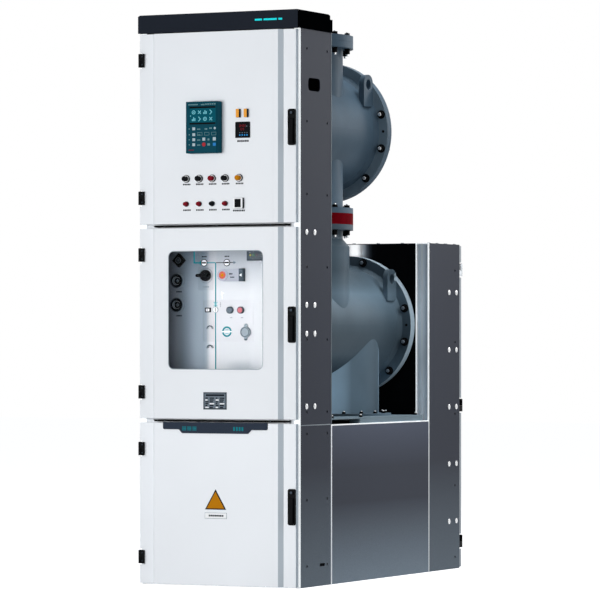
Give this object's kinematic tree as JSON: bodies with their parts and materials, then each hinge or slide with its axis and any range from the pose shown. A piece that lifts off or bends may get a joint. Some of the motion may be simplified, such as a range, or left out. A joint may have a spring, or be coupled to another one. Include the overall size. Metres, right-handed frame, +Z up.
{
  "type": "gas insulated breaker cubicle",
  "caption": "Gas insulated breaker cubicle: a front column with hinged doors, a base cabinet, a rear column and stacked gas tanks behind.",
  "frame": {"origin": "on the floor at the centre of the side panels' footprint", "axes": "+Z up, the three front doors face -Y, +X is to the right for someone facing them"},
  "size_m": [0.756, 1.7598, 2.407],
  "materials": {
    "panel_metal": "fine grained grey metallic paint",
    "door_white": "satin white powder coat",
    "frame_white": "satin white powder coat",
    "zinc": "bright zinc plated steel",
    "cap_black": "satin black paint",
    "tank_grey": "grey blue casting paint",
    "insulator_red": "dark red cast resin",
    "black_metal": "satin black",
    "black_plastic": "moulded black plastic",
    "relay_teal": "dark teal front foil",
    "orange_plastic": "orange moulded plastic",
    "glass": "clear inspection pane",
    "rail_slate": "satin slate"
  },
  "bodies": {
    "cabinet": {"column_side_panel_upper_right": "panel_metal", "column_side_panel_upper_left": "panel_metal", "column_side_panel_lower_right": "panel_metal", "column_side_panel_lower_left": "panel_metal", "base_side_panel_right": "panel_metal", "base_side_panel_left": "panel_metal", "rear_side_panel_right": "panel_metal", "rear_side_panel_left": "panel_metal", "rear_front_wall": "panel_metal", "column_back_plate": "panel_metal", "base_top_plate": "panel_metal", "tank_support_plate": "panel_metal", "tank_support_rails": "panel_metal", "roof_plates": "panel_metal", "front_posts": "frame_white", "cross_rails": "frame_white", "operating_panel": "frame_white", "base_frame": "zinc", "floor_plate": "zinc", "compartment_shelves": "zinc", "top_cap": "cap_black", "upper_tank": "tank_grey", "lower_tank": "tank_grey", "upper_tank_rear_cover": "tank_grey", "lower_tank_rear_cover": "tank_grey", "tank_front_covers": "tank_grey", "top_blank_cover": "tank_grey", "insulator_ring": "insulator_red", "fixed_hinges": "black_metal", "trim_bars": "black_metal", "operating_controls": "black_plastic"},
    "upper_door": {"upper_door_leaf": "door_white", "upper_door_hinges": "black_metal", "upper_door_handle": "black_plastic", "protection_relay": "relay_teal", "panel_meter": "black_plastic", "test_blocks": "orange_plastic", "pilot_devices": "black_plastic"},
    "middle_door": {"middle_door_leaf": "door_white", "middle_door_hinges": "black_metal", "middle_door_handle": "black_plastic", "window_pane": "glass"},
    "lower_door": {"lower_door_leaf": "door_white", "lower_door_hinges": "black_metal", "lower_door_handle": "black_plastic", "label_rail": "rail_slate"},
    "rear_door": {"rear_door_leaf": "panel_metal", "rear_door_hinges": "black_metal", "rear_door_handle": "black_plastic"}
  },
  "joints": [
    {"name": "upper_door_hinge", "type": "hinge", "parent": "cabinet", "child": "upper_door", "pos_m": [-0.362, -0.8505, 1.923], "axis": [0, 0, -1], "range_deg": [0, 110]},
    {"name": "middle_door_hinge", "type": "hinge", "parent": "cabinet", "child": "middle_door", "pos_m": [-0.362, -0.8505, 1.1025], "axis": [0, 0, -1], "range_deg": [0, 110]},
    {"name": "lower_door_hinge", "type": "hinge", "parent": "cabinet", "child": "lower_door", "pos_m": [-0.362, -0.8505, 0.3445], "axis": [0, 0, -1], "range_deg": [0, 110]},
    {"name": "rear_door_hinge", "type": "hinge", "parent": "cabinet", "child": "rear_door", "pos_m": [0.362, 0.8505, 0.7325], "axis": [0, 0, -1], "range_deg": [0, 110]}
  ]
}
